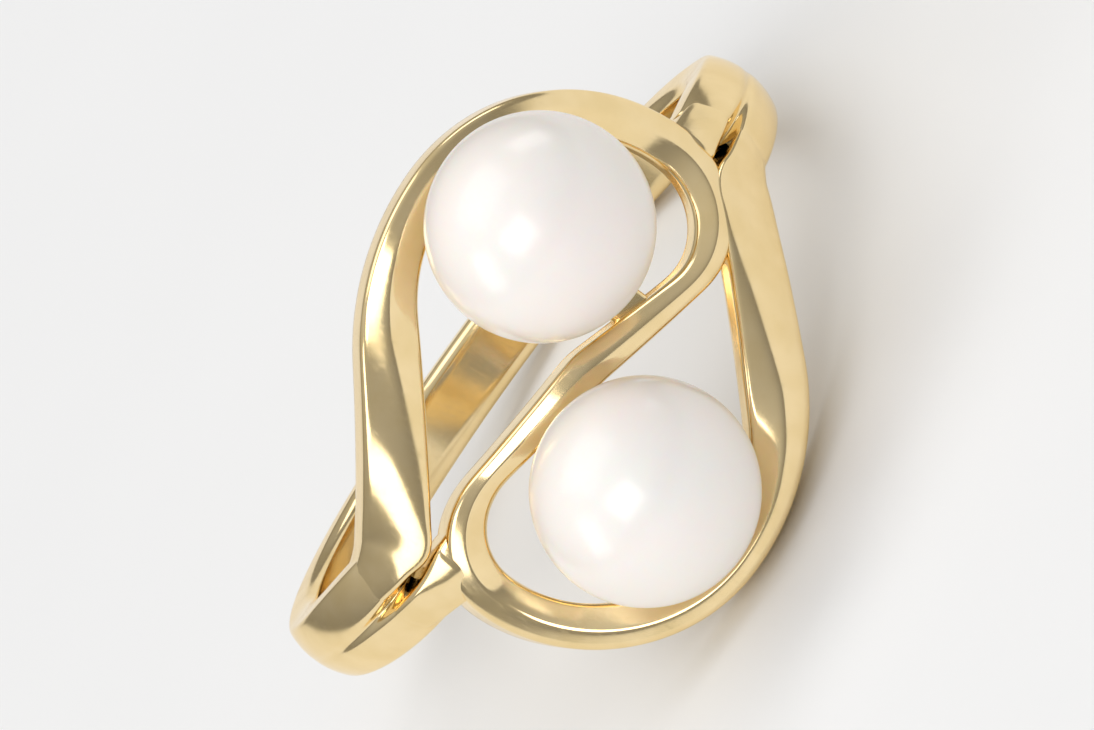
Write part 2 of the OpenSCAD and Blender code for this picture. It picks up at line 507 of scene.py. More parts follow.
@dataclass(frozen=True)
class Form:
    """Shape of a strip along its length, in mm. Each value is an array over the stations.

    The first four are those of a Mark.

    Attributes:
        sink: Depth of the whole top below its surface.
        lift: Depth of the underside in the metal above the hole.
    """

    ridge: Array
    left_drop: Array
    right_drop: Array
    round_over: Array
    sink: Array
    lift: Array

    def fall(self, across: Array, width: Array, narrowest: float = 0.05) -> Array:
        """Works out the fall of the top at points across it.

        Each side falls as the hyperbola sqrt(d^2 + e^2) - e of the distance d from the ridge,
        with e the round_over, scaled to the side's drop at its edge.

        Args:
            across: Distance of each point from the left edge, stations by points.
            width: The strip's width at each station.
            narrowest: Least width that a side is taken to have, in mm.

        Returns:
            The fall of each point, in mm.
        """
        ridge = (self.ridge * width)[:, None]
        soft = self.round_over[:, None]

        def bend(distance: Array) -> Array:
            """Height of the hyperbola at a distance from the ridge."""
            return np.sqrt(distance ** 2 + soft ** 2) - soft

        left = bend(ridge - across) / bend(np.maximum(ridge, narrowest))
        right = bend(across - ridge) / bend(np.maximum(width[:, None] - ridge, narrowest))
        return self.sink[:, None] + np.where(across < ridge, self.left_drop[:, None] * left,
                                             self.right_drop[:, None] * right)


def strip(left: Array, right: Array, form: Form, section: Section, top: HeightAt,
          underside: HeightAt) -> Shell:
    """Carries a section along a strip.

    Args:
        left: Left edge in plan, stations by 2.
        right: Right edge in plan, stations by 2.
        form: Shape of the strip along its length.
        section: The section's points.
        top: Height of the top at a distance across the ring and a depth below the surface.
        underside: Height of the underside at a distance and a depth in the metal above it.

    Returns:
        The shell whose point at station s and section point p lies on the line from left[s]
        to right[s], at the section's distance from the left edge.
    """
    share, offset, top_share, fall, rise = section.columns()
    width = np.linalg.norm(right - left, axis=1)
    across = share * width[:, None] + offset
    plan = left[:, None] + (across / width[:, None])[..., None] * (right - left)[:, None]
    high = top(plan[..., 0], form.fall(across, width) + fall)
    low = underside(plan[..., 0], form.lift[:, None] + rise)
    return capped_tube(np.concatenate([plan, mixed(top_share, high, low)[..., None]], axis=-1))


# The gold mount

RIBBON_SECTION = Section(corner=0.13, foot=0.2, top_points=19)
BAR_SECTION = Section(corner=0.12, foot=0.12, top_points=7)
SHANK_SECTION = Section(corner=0.12, foot=0.3, top_points=41, crowding=2.2, turn_points=7,
                        low_points=7, wall_points=2)

# Corners of the strips' edges where they leave the shank, as (across, along) in mm. They are
# the upper half's, on the left shoulder.
BAND_OUTER = [(-8.0, 1.12), (-7.75, 1.18), (-7.5, 1.25), (-7.25, 1.35), (-6.95, 1.53),
              (-6.6, 1.86), (-6.2, 2.2), (-5.8, 2.56)]
BAND_INNER = [(-8.0, 0.18), (-7.75, 0.18), (-7.5, 0.17), (-7.25, 0.16), (-6.75, 0.16),
              (-6.55, 0.0), (-6.1, 0.05), (-5.72, 0.48)]
BRANCH_UPPER = [(-8.0, -0.18), (-7.75, -0.18), (-7.5, -0.17), (-7.25, -0.16), (-6.7, -0.12),
                (-6.3, 0.0), (-5.8, 0.15)]
BRANCH_LOWER = [(-8.0, -1.12), (-7.75, -1.18), (-7.5, -1.24), (-7.2, -1.31), (-6.8, -1.36),
                (-6.45, -1.44), (-6.1, -1.58), (-5.9, -1.7)]

# Tops of the strips. The scroll's places are shares of the way from a shoulder to the middle of
# the run. It is domed at the shoulder, like the shank, and creased round the loop, where it
# falls towards the pearl. The left edge is the one outside the loop.
SCROLL_TOP = (
    Mark(0.00, ridge=1.00, left_drop=0.44, right_drop=0.01, round_over=1.60),
    Mark(0.07, ridge=0.92, left_drop=0.40, right_drop=0.03, round_over=1.30),
    Mark(0.16, ridge=0.66, left_drop=0.18, right_drop=0.10, round_over=0.40),
    Mark(0.27, ridge=0.46, left_drop=0.07, right_drop=0.24, round_over=0.12),
    Mark(0.40, ridge=0.38, left_drop=0.06, right_drop=0.46, round_over=0.05),
    Mark(0.62, ridge=0.38, left_drop=0.06, right_drop=0.50, round_over=0.05),
    Mark(0.80, ridge=0.42, left_drop=0.06, right_drop=0.36, round_over=0.06),
    Mark(0.90, ridge=0.46, left_drop=0.08, right_drop=0.20, round_over=0.10),
    Mark(1.00, ridge=0.50, left_drop=0.10, right_drop=0.10, round_over=0.16),
)
BRANCH_TOP = (
    Mark(0.0, ridge=0.00, left_drop=0.010, right_drop=0.440, round_over=1.6),
    Mark(0.3, ridge=0.08, left_drop=0.025, right_drop=0.360, round_over=1.2),
    Mark(0.4, ridge=0.17, left_drop=0.030, right_drop=0.331, round_over=1.1),
    Mark(0.6, ridge=0.35, left_drop=0.047, right_drop=0.274, round_over=0.9),
    Mark(1.0, ridge=0.50, left_drop=0.080, right_drop=0.160, round_over=0.5),
)
BAR_TOP = (Mark(0.0, ridge=0.5, left_drop=0.04, right_drop=0.04, round_over=0.3),)


@dataclass(frozen=True)
class HalfPlan:
    """Plan of one half of the S, from the shoulder to the middle of the run, in mm.

    Attributes:
        half: Which half it is.
        reach: Reach of its loop across the ring.
        turn: Height at which the hook meets the loop.
        length: Reach of the loop along the hole's axis.
        hook_outer: Radius of the hook's outer edge.
        hook_inner: Radius of its inner edge.
        crest_outer: Radius of the crest's outer edge.
        crest_inner: Radius of its inner edge.
        crest_turn: Angle that the crest turns through, in degrees.
        wire: Width of the ribbon in the run.
        ribbon: Width of the ribbon round the loop.
        run_shift: Distance of the run's middle from the head's, towards the lower pearl.
    """

    half: Half
    reach: float
    turn: float
    length: float
    hook_outer: float
    hook_inner: float
    crest_outer: float
    crest_inner: float
    crest_turn: float = 41
    wire: float = 1.05
    ribbon: float = 1.2
    run_shift: float = 0.12

    def edge(self, outer: bool) -> Array:
        """Draws one edge of the ribbon: band, crest arc, loop arc, hook arc and tangent run.

        Args:
            outer: True for the edge outside the loop.

        Returns:
            The edge's points, matched with those of the other edge.
        """
        loop_r = self.length - self.turn
        middle = self.reach - loop_r
        inset = 0.0 if outer else self.ribbon
        crest_r = self.crest_outer if outer else self.crest_inner
        hook_r = self.hook_outer if outer else self.hook_inner
        corners = BAND_OUTER if outer else BAND_INNER
        side = -1 if outer else 1
        crest_c = np.array([middle, self.length - inset - crest_r])
        loop_c = np.array([middle, self.turn])
        hook_c = np.array([self.reach - inset - hook_r, self.turn])
        end = np.array([0, side * self.wire / 2 - self.half.value * self.run_shift])
        crest = arc(crest_c, crest_r, 90 + self.crest_turn, 90)
        loop = arc(loop_c, loop_r - inset, 90, 0)
        hook = arc(hook_c, hook_r, 0, touch_angle(hook_c, hook_r, end))
        return np.vstack([through([*corners, tuple(crest[0])]), crest, loop, hook,
                          line(hook[-1], end)])


UPPER_PLAN = HalfPlan(Half.UPPER, reach=6.75, turn=1.1, length=6.5, hook_outer=2.65,
                      hook_inner=1.8, crest_outer=7.1, crest_inner=4.4)
LOWER_PLAN = HalfPlan(Half.LOWER, reach=6.6, turn=1.9, length=6.75, hook_outer=2.5,
                      hook_inner=1.7, crest_outer=7.8, crest_inner=4.6)


@dataclass(kw_only=True)
class Ribbon:
    """A strip of gold that stands on edge and grows out of the shank, in mm.

    Attributes:
        envelope: The surfaces that it lies between.
        spacing: Distance between its stations.
        emerges: Places where its top is nearly out of the shank and where it is out, as shares
            of the way along it.
        clears: Places where its underside starts and ends to rise out of the shank's, as
            shares too.
        undercut: Depth of its end in the shank, at the underside.
        lift: Depth of the rest of its underside in the metal above the hole.
        buried: Depth of its end in the shank, at the top.
        skin: Depth of its top where it is nearly out.
        softening: Reach of the averaging along its edges.
    """

    envelope: Envelope
    spacing: float
    emerges: tuple[float, float]
    clears: tuple[float, float]
    undercut: float
    lift: float
    buried: float = 0.09
    skin: float = 0.02
    softening: float = 0.16

    def drawn(self, first: Array, second: Array) -> list[Array]:
        """Matches two edges, spaces them evenly and softens them."""
        even = resampled(*squared(first, second), self.spacing)
        return [softened(edge, self.spacing, self.softening) for edge in even]

    def depths(self, way: Array) -> tuple[Array, Array]:
        """Depths of its top and of its underside, at shares of the way along it."""
        return (np.interp(way, [0, *self.emerges], [self.buried, self.skin, 0]),
                np.interp(way, self.clears, [self.undercut, self.lift]))

    def carried(self, left: Array, right: Array, form: Form) -> list[Shell]:
        """The ribbon between two edges as one closed strip."""
        return [strip(left, right, form, RIBBON_SECTION, self.envelope.outside,
                      self.envelope.inside)]


@dataclass(kw_only=True)
class Scroll(Ribbon):
    """The S-shaped ribbon, from one shoulder to the other.

    Attributes:
        upper: Plan of the half round the upper pearl.
        lower: Plan of the half round the lower pearl.
    """

    upper: HalfPlan = UPPER_PLAN
    lower: HalfPlan = LOWER_PLAN
    spacing: float = 0.11
    emerges: tuple[float, float] = (0.02, 0.032)
    clears: tuple[float, float] = (0.035, 0.055)
    undercut: float = 0.08
    lift: float = 0.004

    def form(self, stations: int) -> Form:
        """Works out the ribbon's shape, which the lower half mirrors across its width.

        Args:
            stations: Number of stations from shoulder to shoulder.

        Returns:
            The shape at each station. Both ends dip into the shank.
        """
        way = np.linspace(0, 2, stations)
        first = way <= 1
        near = np.where(first, way, 2 - way)
        ridge, outer, inner, soft = Mark.read(SCROLL_TOP, near)
        sink, lift = self.depths(near)
        return Form(ridge=np.where(first, ridge, 1 - ridge),
                    left_drop=np.where(first, outer, inner),
                    right_drop=np.where(first, inner, outer),
                    round_over=soft, sink=sink, lift=lift)

    def shells(self) -> list[Shell]:
        """The ribbon, from the left shoulder round both loops to the right one.

        Returns:
            The shell, alone in a list.
        """
        left = np.vstack([self.upper.edge(True), -self.lower.edge(False)[::-1]])
        right = np.vstack([self.upper.edge(False), -self.lower.edge(True)[::-1]])
        left, right = self.drawn(left, right)
        return self.carried(left, right, self.form(len(left)))


@dataclass(kw_only=True)
class Branch(Ribbon):
    """Short ribbon from a shoulder to the outside of the loop beside it.

    Attributes:
        half: The half whose band it lies below.
        end: Where its upper edge ends in the loop, in the plan of the upper half.
        meets: Share of its length at which it meets the loop.
        dip: Depth to which its top falls inside the loop, in mm.
    """

    half: Half
    end: tuple[float, float]
    meets: float
    dip: float
    spacing: float = 0.08
    emerges: tuple[float, float] = (0.12, 0.2)
    clears: tuple[float, float] = (0.3, 0.42)
    undercut: float = 0.1
    lift: float = 0.03

    def shells(self) -> list[Shell]:
        """The branch, its far end buried in the loop.

        Returns:
            The shell, alone in a list.
        """
        edges = self.drawn(through([*BRANCH_UPPER, self.end]), through(BRANCH_LOWER))
        left, right = (self.half.value * edge for edge in edges)
        way = np.linspace(0, 1, len(left))
        sink, lift = self.depths(way)
        sink += np.interp(way, [self.meets, 1], [0, self.dip])
        return self.carried(left, right, Form(*Mark.read(BRANCH_TOP, way), sink=sink, lift=lift))


@dataclass
class Shank:
    """Domed band round the hole, from one shoulder down and up to the other.

    Its sizes are in mm, and its angles in degrees from straight down.

    Attributes:
        envelope: The surfaces that it lies between.
        shoulder_w: Width at the shoulders.
        bottom_w: Width at the bottom.
        widens: Heights at which it starts and ends to widen.
        dome_r: Radius of the rounded outside across its width.
        end_angle: Angle at which it ends.
        crease_angle: Angle at which the crease that leads into the slot starts.
        crease: Depth of that crease.
        crease_power: Power of the way to the end with which the crease deepens.
        slot: Further depth to which it falls just before the slot.
        slot_power: Power with which it falls there.
        crease_w: Half-width of the crease.
        buried_angle: Angle at which its surface starts to sink under the strips'.
        buried: Depth of its ends under the strips.
        lift: Depth of its underside in the metal above the hole.
        stations: Number of stations along it.
    """

    envelope: Envelope
    shoulder_w: float = 2.7
    bottom_w: float = 1.9
    widens: tuple[float, float] = (-2.0, 6.0)
    dome_r: float = 2.2
    end_angle: float = 129.5
    crease_angle: float = 84.0
    crease: float = 0.16
    crease_power: float = 1.5
    slot: float = 0.9
    slot_power: float = 16.0
    crease_w: float = 0.13
    buried_angle: float = 120.0
    buried: float = 0.08
    lift: float = 0.004
    stations: int = 331

    def shells(self) -> list[Shell]:
        """The shank as one closed tube.

        At each angle from straight down, the section runs across the rounded outside, which
        falls as a circle of radius dome_r, and back along the hole. The width grows as
        the smooth step 3 t^2 - 2 t^3 of the height. The crease has the section
        exp(-(y / crease_w)^2), and its depth is the sum of two powers of the way to the end.

        Returns:
            The shell, alone in a list.
        """
        share, offset, top_share, fall, rise = SHANK_SECTION.columns()
        degrees = np.linspace(-self.end_angle, self.end_angle, self.stations)[:, None]
        angle = np.radians(degrees)
        outer = self.envelope.outside_radius(angle)
        rising = ramp(-outer * np.cos(angle), *self.widens)
        width = self.bottom_w + (self.shoulder_w - self.bottom_w) * rising ** 2 * (3 - 2 * rising)
        along = (share - 0.5) * width + offset
        dome = self.dome_r - np.sqrt(self.dome_r ** 2 - along ** 2)
        near_end = ramp(np.abs(degrees), self.crease_angle, self.end_angle)
        depth = (self.crease * near_end ** self.crease_power
                 + self.slot * near_end ** self.slot_power)
        groove = depth * np.exp(-(along / self.crease_w) ** 2)
        buried = self.buried * ramp(np.abs(degrees), self.buried_angle, self.end_angle) ** 2
        radius = mixed(top_share, outer - buried - dome - groove - fall,
                       self.envelope.bore_r + self.lift + buried + rise)
        grid = np.stack([radius * np.sin(angle), along, -radius * np.cos(angle)], axis=-1)
        return [capped_tube(grid)]


@dataclass
class Pearl:
    """A round pearl, drilled half way for its post, in mm.

    Attributes:
        half: The half of the scroll that it stands in.
        centre: Its centre in the ring's frame.
        radius: Its radius.
        seed: Seed of its slight unevenness.
        hole_r: Radius of its hole.
        hole_top: Height of the hole's end above the pearl's centre.
        unevenness: Largest share of the radius that is missing anywhere.
        waves: Number of waves in the unevenness.
        wave: Typical change of a wave's phase, in radians per mm.
        skin_rings: Number of rings of points on its skin.
        hole_rings: Number of rings down its hole.
        steps: Number of points in a ring.
    """

    half: Half
    centre: Array
    radius: float
    seed: int
    hole_r: float = 0.55
    hole_top: float = 0.1
    unevenness: float = 0.0022
    waves: int = 6
    wave: float = 1.1
    skin_rings: int = 97
    hole_rings: int = 11
    steps: int = 144

    @classmethod
    def from_part(cls, half: Half, seed: int, place: RingFrame) -> "Pearl":
        """Reads a pearl's centre and radius from the box of its node.

        Args:
            half: The half of the scroll that it stands in.
            seed: Seed of its slight unevenness.
            place: The ring's frame.

        Returns:
            The pearl.
        """
        low, high = (np.array(corner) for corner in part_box(half.node))
        radius = float(np.mean(high - low)) / 2 / MM
        return cls(half, place.ring_point((low + high) / 2), radius, seed)

    def shells(self) -> list[Shell]:
        """The pearl and its hole as one surface.

        The radius is the pearl's own, less the unevenness times the mean of the waves, which
        each run in their own direction: (1 + sin(k . p + phase)) / 2.

        Returns:
            The shell, alone in a list.
        """
        rim = math.asin(self.hole_r / self.radius)
        polar = np.linspace(0, math.pi - rim, self.skin_rings)
        skin_r, skin_z = self.radius * np.sin(polar), self.radius * np.cos(polar)
        hole_z = np.linspace(skin_z[-1], self.hole_top, self.hole_rings + 1)[1:]
        radii = np.concatenate([skin_r, np.full(self.hole_rings, self.hole_r),
                                [self.hole_r / 2, 0]])
        heights = np.concatenate([skin_z, hole_z, [self.hole_top, self.hole_top]])
        shell = lathed(radii, heights, self.steps)
        rng = np.random.default_rng(self.seed)
        directions = rng.normal(size=(self.waves, 3)) * self.wave
        phases = rng.uniform(0, 2 * math.pi, self.waves)
        swell = np.mean(1 + np.sin(shell.points @ directions.T + phases), axis=1) / 2
        shell.points *= 1 - self.unevenness * swell[:, None]
        shell.points += self.centre
        return [shell]

    def build(self, place: RingFrame, nacre: bpy.types.Material) -> bpy.types.Object:
        """Makes the pearl's piece, in nacre."""
        node = self.half.node
        return add_piece(f"{node}_nacre", self.shells(), place, nacre, node)


@dataclass
class Seat:
    """Dished seat under a pearl, with the bar that ties it across the loop and its post, in mm.

    Attributes:
        envelope: The surfaces that the gold lies between.
        pearl: The pearl above it.
        bar_start: Place along the hole's axis where the bar leaves the run.
        bar_end: Place where it meets the loop.
        seat_r: Radius of the seat.
        rim_r: Radius of its rounded rim.
        bevel: Width of the bevel round its underside.
        core: Radius of the innermost rings of points, as a share of the seat's.
        side: Places of the rings down its side, as shares of the height.
        seat_lift: Depth of its underside in the metal above the hole.
        bar_w: Width of the bar.
        bar_drop: Depth of the bar's top below the seat's lowest point.
        bar_lift: Depth of the bar's underside.
        post_r: Radius of the post.
        tip: Height of the rounding at its tip.
        tip_drop: Depth of its tip below the pearl's centre.
        root: Depth of its root below the pearl.
        glue: Thickness of the glue.
    """

    envelope: Envelope
    pearl: Pearl
    bar_start: float
    bar_end: float
    seat_r: float = 1.7
    rim_r: float = 0.08
    bevel: float = 0.1
    core: float = 0.02
    side: tuple[float, ...] = (0.9, 0.6, 0.3, 0.1)
    seat_lift: float = 0.05
    bar_w: float = 1.05
    bar_drop: float = 0.15
    bar_lift: float = 0.06
    post_r: float = 0.45
    tip: float = 0.15
    tip_drop: float = 0.15
    root: float = 0.3
    glue: float = 0.1

    def cup(self, steps: int = 64, dish_rings: int = 16, rim_rings: int = 8,
            foot_rings: int = 9) -> Shell:
        """The seat itself, turned about the pearl's axis.

        Its profile runs out along the dish, which follows a sphere round the pearl, over the
        half-round rim, down the side, round the bevel and back in along the hole.

        Args:
            steps: Number of steps round the axis.
            dish_rings: Number of rings of points in the dish.
            rim_rings: Number of rings over the rim.
            foot_rings: Number of rings along the hole.

        Returns:
            The shell.
        """
        x, y, z = self.pearl.centre
        sphere_r = self.pearl.radius + self.glue
        dish_r = self.seat_r - 2 * self.rim_r
        rim_z = z - math.sqrt(sphere_r ** 2 - dish_r ** 2)
        dish = np.linspace(self.core, 1, dish_rings) * dish_r
        turn = np.linspace(-math.pi / 2, math.pi / 2, rim_rings + 1)[1:]
        foot = np.linspace(1, self.core, foot_rings) * (self.seat_r - self.bevel)
        radii = np.concatenate([dish, dish_r + self.rim_r * (1 + np.sin(turn)),
                                np.full(len(self.side), self.seat_r), foot])
        high = np.concatenate([z - np.sqrt(sphere_r ** 2 - dish ** 2),
                               rim_z + self.rim_r * np.cos(turn),
                               np.full(len(self.side) + foot_rings, rim_z)])
        top_share = np.concatenate([np.ones(dish_rings + rim_rings), self.side,
                                    np.zeros(foot_rings)])
        around = np.arange(steps) * 2 * math.pi / steps
        across = x + radii[:, None] * np.cos(around)
        along = y + radii[:, None] * np.sin(around)
        height = mixed(top_share[:, None], high[:, None],
                       self.envelope.inside(across, self.seat_lift))
        return capped_tube(np.stack([across, along, height], axis=-1))

    def bar(self, stations: int = 40) -> Shell:
        """The bar, straight along the hole's axis under the pearl.

        Args:
            stations: Number of stations along it.

        Returns:
            The shell, with a flat top and its underside along the hole.
        """
        way = self.pearl.half.value
        along = way * np.linspace(self.bar_start, self.bar_end, stations)
        edges = [self.pearl.centre[0] + side * way * self.bar_w / 2 for side in (-1, 1)]
        left, right = (np.stack([np.full(stations, edge), along], axis=-1) for edge in edges)
        top = self.pearl.centre[2] - self.pearl.radius - self.glue - self.bar_drop
        form = Form(*Mark.read(BAR_TOP, along), sink=np.zeros(stations),
                    lift=np.full(stations, self.bar_lift))
        return strip(left, right, form, BAR_SECTION, lambda across, depth: top - depth,
                     self.envelope.inside)

    def post(self, steps: int = 48, tip_rings: int = 8, wall_rings: int = 6) -> Shell:
        """The post, from the seat to near the middle of the pearl.

        Args:
            steps: Number of steps round its axis.
            tip_rings: Number of rings of points over its tip.
            wall_rings: Number of rings down its side.

        Returns:
            The shell. Its tip is rounded as a quarter of an ellipse.
        """
        x, y, z = self.pearl.centre
        turn = np.linspace(math.pi / 2, 0, tip_rings)
        root, shoulder = z - self.pearl.radius - self.root, z - self.tip_drop - self.tip
        wall = np.linspace(shoulder, root, wall_rings + 1)[1:]
        radii = np.concatenate([self.post_r * np.cos(turn), np.full(wall_rings, self.post_r),
                                [self.post_r / 2, 0]])
        heights = np.concatenate([shoulder + self.tip * np.sin(turn), wall, [root, root]])
        shell = lathed(radii, heights, steps)
        shell.points += [x, y, 0]
        return shell

    def shells(self) -> list[Shell]:
        """The seat's closed shells."""
        return [self.cup(), self.bar(), self.post()]


@dataclass
class GoldMount:
    """All the gold, soldered into one: shank, scroll, branches and seats.

    Attributes:
        envelope: The surfaces that it lies between.
        upper: The pearl in the upper half.
        lower: The pearl in the lower half.
    """

    envelope: Envelope
    upper: Pearl
    lower: Pearl

    def shells(self) -> list[Shell]:
        """Makes all the parts of the mount.

        Returns:
            Their closed shells, which overlap where the parts are soldered.
        """
        gold = self.envelope
        parts = [
            Shank(gold),
            Scroll(envelope=gold),
            Branch(envelope=gold, half=Half.UPPER, end=(-5.15, 0.15), meets=0.78, dip=0.22),
            Branch(envelope=gold, half=Half.LOWER, end=(-5.4, 0.25), meets=0.56, dip=0.75),
            Seat(gold, self.upper, bar_start=-0.6, bar_end=5.9),
            Seat(gold, self.lower, bar_start=-0.1, bar_end=6.15),
        ]
        return [shell for part in parts for shell in part.shells()]

    def build(self, place: RingFrame, gold: bpy.types.Material) -> bpy.types.Object:
        """Makes the mount's piece, in gold."""
        return add_piece("gold_mount", self.shells(), place, gold, "scroll_mount")


# Finishes


class Graph:
    """A node tree being built: adds nodes and links them by socket name."""

    def __init__(self, tree: bpy.types.NodeTree) -> None:
        """Starts on an empty tree."""
        self.tree = tree
        tree.nodes.clear()

    @classmethod
    def group(cls, name: str, colours: tuple[str, ...], numbers: dict[str, float]) -> "Graph":
        """Starts a shader node group that puts out a colour, a roughness and a height.

        Args:
            name: The group's name.
            colours: Names of its colour inputs.
            numbers: Names of its number inputs, with their defaults.

        Returns:
            The graph of the new group.
        """
        group = bpy.data.node_groups.new(name, "ShaderNodeTree")
        sockets = [(colour, "INPUT", "Color") for colour in colours]
        sockets += [(number, "INPUT", "Float") for number in numbers]
        sockets += [("Color", "OUTPUT", "Color"), ("Roughness", "OUTPUT", "Float"),
                    ("Height", "OUTPUT", "Float")]
        for socket, way, kind in sockets:
            made = group.interface.new_socket(name=socket, in_out=way,
                                              socket_type=f"NodeSocket{kind}")
            if way == "INPUT" and socket in numbers:
                made.default_value = numbers[socket]
        return cls(group)

    def add(self, kind: str, values: dict[str | int, object] | None = None,
            **settings: object) -> bpy.types.Node:
        """Adds a node.

        Args:
            kind: The node's type, without the ShaderNode prefix.
            values: Values or source sockets, by the input's name or number.
            **settings: The node's own properties.

        Returns:
            The new node.
        """
        prefix = "" if kind.startswith("Node") else "ShaderNode"
        node = self.tree.nodes.new(prefix + kind)
        for key, setting in settings.items():
            setattr(node, key, setting)
        for key, value in (values or {}).items():
            if isinstance(value, Socket):
                self.tree.links.new(value, node.inputs[key])
            else:
                node.inputs[key].default_value = value
        return node

    def noise(self, where: Socket, scale: Socket | float, detail: float,
              distortion: float = 0.0) -> Socket:
        """Adds a noise at a scale per metre, and returns its value."""
        return self.add("TexNoise", {"Vector": where, "Scale": scale, "Detail": detail,
                                     "Distortion": distortion}).outputs["Fac"]

    def remap(self, value: Socket, start: tuple[float, float] = (0.0, 1.0),
              end: tuple[float, float] = (0.0, 1.0), curve: str = "LINEAR") -> Socket:
        """Carries a value from one range to another, and keeps it within the second.

        Args:
            value: The value.
            start: Both ends of the range that it comes from.
            end: Both ends of the range that it goes to.
            curve: The kind of step between them, LINEAR or SMOOTHSTEP.

        Returns:
            The new value.
        """
        return self.add("MapRange", {"Value": value, "From Min": start[0], "From Max": start[1],
                                     "To Min": end[0], "To Max": end[1]},
                        interpolation_type=curve).outputs["Result"]

    def mix(self, share: Socket, first: Socket, second: Socket | Colour) -> Socket:
        """Mixes two colours by the share of the second, and returns the colour."""
        return self.add("Mix", {"Factor": share, "A": first, "B": second},
                        data_type="RGBA").outputs[2]

    def maths(self, operation: str, first: Socket, second: Socket) -> Socket:
        """Adds or multiplies two values, and returns the result."""
        return self.add("Math", {0: first, 1: second}, operation=operation).outputs["Value"]


def polish_group() -> bpy.types.NodeTree:
    """Builds the group that gives polished gold its fine marks.

    The marks are soft clouds and hairlines, from noise that is stretched twelve times along
    one direction.

    Returns:
        The group. Its inputs are the base colour, the mean roughness and how many clouds and
        hairlines go to a metre. Its outputs are the colour, the roughness and a height.
    """
    g = Graph.group("polish_marks", ("Base",),
                    {"Roughness": 0.14, "Clouds per m": 900.0, "Hairlines per m": 9000.0})
    given = g.add("NodeGroupInput").outputs
    where = g.add("TexCoord").outputs["Object"]
    clouds = g.noise(where, given["Clouds per m"], detail=3.0)
    stretch = g.add("Mapping", {"Vector": where, "Scale": (1.0, 1.0, 0.08),
                                "Rotation": (0.6, 0.9, 0.3)})
    lines = g.noise(stretch.outputs["Vector"], given["Hairlines per m"], detail=2.0)
    warm = g.add("HueSaturation", {"Color": given["Base"], "Saturation": 1.08, "Value": 0.94})
    colour = g.mix(g.remap(clouds, (0.35, 0.65)), given["Base"], warm.outputs["Color"])
    cloudy = g.maths("MULTIPLY", g.remap(clouds, (0.3, 0.7), (0.8, 1.25)), given["Roughness"])
    rough = g.maths("ADD", cloudy, g.remap(lines, (0.55, 0.75), (0.0, 0.06)))
    height = g.maths("ADD", lines, clouds)
    g.add("NodeGroupOutput", {"Color": colour, "Roughness": rough, "Height": height})
    return g.tree


def nacre_group() -> bpy.types.NodeTree:
    """Builds the group that gives a pearl its cloudy colour.

    A broad noise mixes the two tones and varies the roughness, and a fine one is the growth of
    the nacre.

    Returns:
        The group. Its inputs are the body colour, a second tone and how many clouds and grains
        go to a metre. Its outputs are the colour, the roughness and a height.
    """
    g = Graph.group("nacre_clouds", ("Body", "Tone"),
                    {"Clouds per m": 320.0, "Grain per m": 5200.0})
    given = g.add("NodeGroupInput").outputs
    where = g.add("TexCoord").outputs["Object"]
    clouds = g.noise(where, given["Clouds per m"], detail=2.0, distortion=0.3)
    grain = g.noise(where, given["Grain per m"], detail=2.0)
    share = g.remap(clouds, (0.25, 0.75), curve="SMOOTHSTEP")
    colour = g.mix(share, given["Body"], given["Tone"])
    rough = g.remap(clouds, (0.2, 0.8), (0.285, 0.36), curve="SMOOTHSTEP")
    g.add("NodeGroupOutput", {"Color": colour, "Roughness": rough, "Height": grain})
    return g.tree


def new_material(name: str) -> tuple[bpy.types.Material, Graph]:
    """Makes a material with nodes.

    Args:
        name: Its name.

    Returns:
        The material and the graph of its nodes.
    """
    material = bpy.data.materials.new(name)
    material.use_nodes = True
    return material, Graph(material.node_tree)


@dataclass(frozen=True)
class GoldFinish:
    """Polished yellow gold.

    Attributes:
        colour: Its colour at normal incidence.
        glance: The tint of its reflections at a grazing angle.
        roughness: Its mean roughness.
        bump: Depth of its polishing marks, in metres.
    """

    colour: Colour = (0.96, 0.76, 0.43, 1.0)
    glance: Colour = (1.0, 0.93, 0.78, 1.0)
    roughness: float = 0.13
    bump: float = 0.0000012

    def build(self) -> bpy.types.Material:
        """Makes the material.

        Returns:
            A metal whose colour, roughness and bump come from the polishing marks.
        """
        material, g = new_material("polished_gold")
        marks = g.add("Group", node_tree=polish_group())
        marks.inputs["Base"].default_value = self.colour
        marks.inputs["Roughness"].default_value = self.roughness
        bump = g.add("Bump", {"Height": marks.outputs["Height"], "Strength": 0.35,
                              "Distance": self.bump})
        shader = g.add("BsdfPrincipled", {
            "Base Color": marks.outputs["Color"], "Roughness": marks.outputs["Roughness"],
            "Normal": bump.outputs["Normal"], "Metallic": 1.0, "Specular Tint": self.glance})
        g.add("OutputMaterial", {"Surface": shader.outputs["BSDF"]})
        return material


